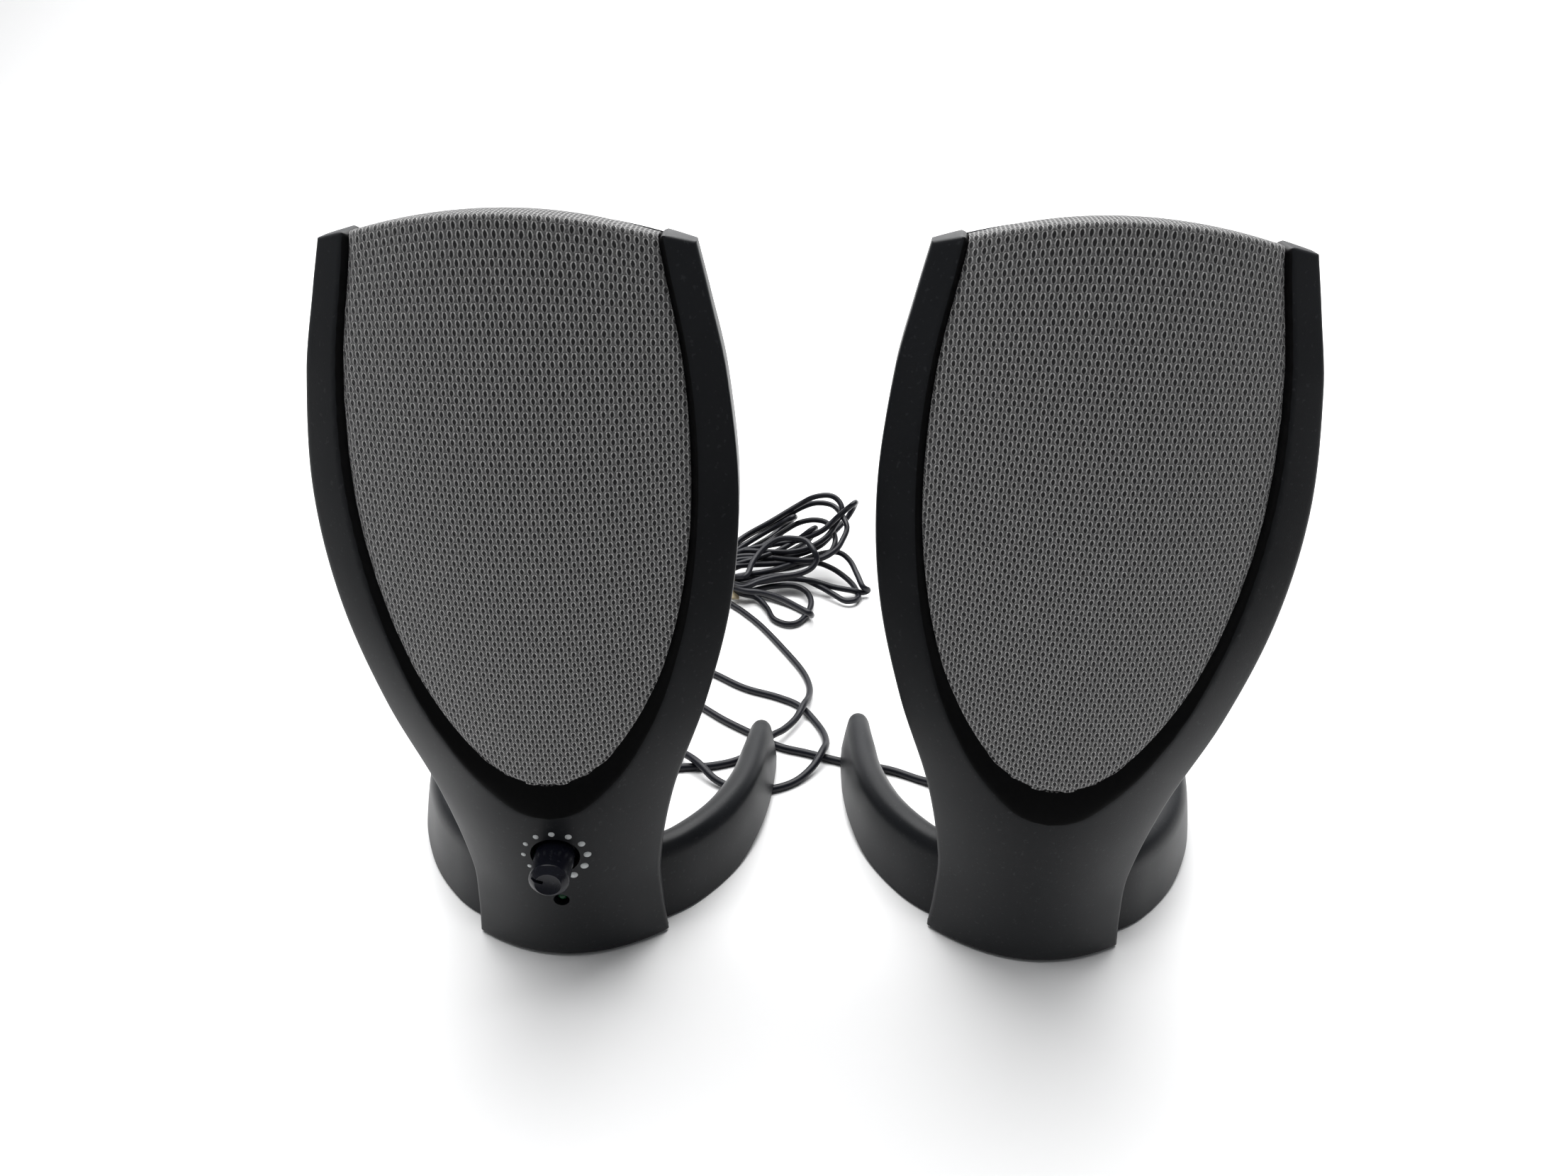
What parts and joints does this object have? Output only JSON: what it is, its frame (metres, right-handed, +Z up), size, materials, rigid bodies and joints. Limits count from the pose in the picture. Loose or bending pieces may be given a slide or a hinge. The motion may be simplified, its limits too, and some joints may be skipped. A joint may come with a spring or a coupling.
{
  "type": "desktop speakers",
  "caption": "Pair of leaf-shaped desktop speakers with cloth grilles on horseshoe feet, with a volume knob, link cord and tied audio cord.",
  "frame": {"origin": "middle of the pair at table level", "axes": "+X to the right as the listener sees it, -Y towards the listener, +Z up"},
  "size_m": [0.2957, 0.33, 0.221],
  "materials": {
    "shell_plastic": "fine-textured charcoal moulding",
    "inner_plastic": "plain black moulding",
    "grille_cloth": "grey knitted mesh",
    "pad_rubber": "matte black rubber",
    "steel": "zinc-plated steel",
    "magnet": "ferrite and blackened steel",
    "cone_paper": "pressed black paper",
    "spider_cloth": "resin-dipped cloth",
    "gloss_black": "polished black",
    "grey_print": "pale grey print",
    "green_lens": "clear green lens",
    "board": "green laminate",
    "aluminium": "extruded aluminium",
    "cord_vinyl": "smooth black vinyl",
    "tie_paper": "cream twist tie"
  },
  "bodies": {
    "cabinets": {"left_front_bezel": "shell_plastic", "left_grille_frame": "inner_plastic", "left_grille_cloth": "grille_cloth", "left_rear_shell": "shell_plastic", "left_foot": "shell_plastic", "left_base_plate": "inner_plastic", "left_foot_pads": "pad_rubber", "left_baffle": "inner_plastic", "left_driver_basket": "steel", "left_driver_magnet": "magnet", "left_driver_surround": "pad_rubber", "left_driver_spider": "spider_cloth", "left_driver_screws": "steel", "left_case_screws": "steel", "left_port_tube": "inner_plastic", "right_front_bezel": "shell_plastic", "right_grille_frame": "inner_plastic", "right_grille_cloth": "grille_cloth", "right_rear_shell": "shell_plastic", "right_foot": "shell_plastic", "right_base_plate": "inner_plastic", "right_foot_pads": "pad_rubber", "right_baffle": "inner_plastic", "right_driver_basket": "steel", "right_driver_magnet": "magnet", "right_driver_surround": "pad_rubber", "right_driver_spider": "spider_cloth", "right_driver_screws": "steel", "right_case_screws": "steel", "right_port_tube": "inner_plastic", "potentiometer": "inner_plastic", "dial_marks": "grey_print", "power_led": "green_lens", "amp_board": "board", "heat_sink": "aluminium", "capacitors": "gloss_black", "dc_inlet": "inner_plastic", "speaker_socket": "inner_plastic", "audio_gland": "cord_vinyl", "link_gland": "cord_vinyl", "link_cord": "cord_vinyl", "link_plug": "cord_vinyl", "audio_cord": "cord_vinyl", "audio_hank": "cord_vinyl", "audio_plug": "cord_vinyl", "twist_tie": "tie_paper", "control_board": "board"},
    "volume_knob": {"volume_knob": "gloss_black", "pot_shaft": "steel"},
    "left_cone": {"left_driver_cone": "cone_paper"},
    "right_cone": {"right_driver_cone": "cone_paper"}
  },
  "joints": [
    {"name": "volume_turn", "type": "hinge", "parent": "cabinets", "child": "volume_knob", "pos_m": [-0.0718, -0.03933, 0.045], "axis": [-0.075, 0.9972, 0], "range_deg": [-90, 210]},
    {"name": "left_cone_travel", "type": "slide", "parent": "cabinets", "child": "left_cone", "axis": [0.075, -0.9972, 0], "range_m": [-0.0015, 0.0015], "stiffness_N_per_m": 600, "deforming": ["left_driver_surround", "left_driver_spider"]},
    {"name": "right_cone_travel", "type": "slide", "parent": "cabinets", "child": "right_cone", "axis": [-0.075, -0.9972, 0], "range_m": [-0.0015, 0.0015], "stiffness_N_per_m": 600, "deforming": ["right_driver_surround", "right_driver_spider"]}
  ]
}
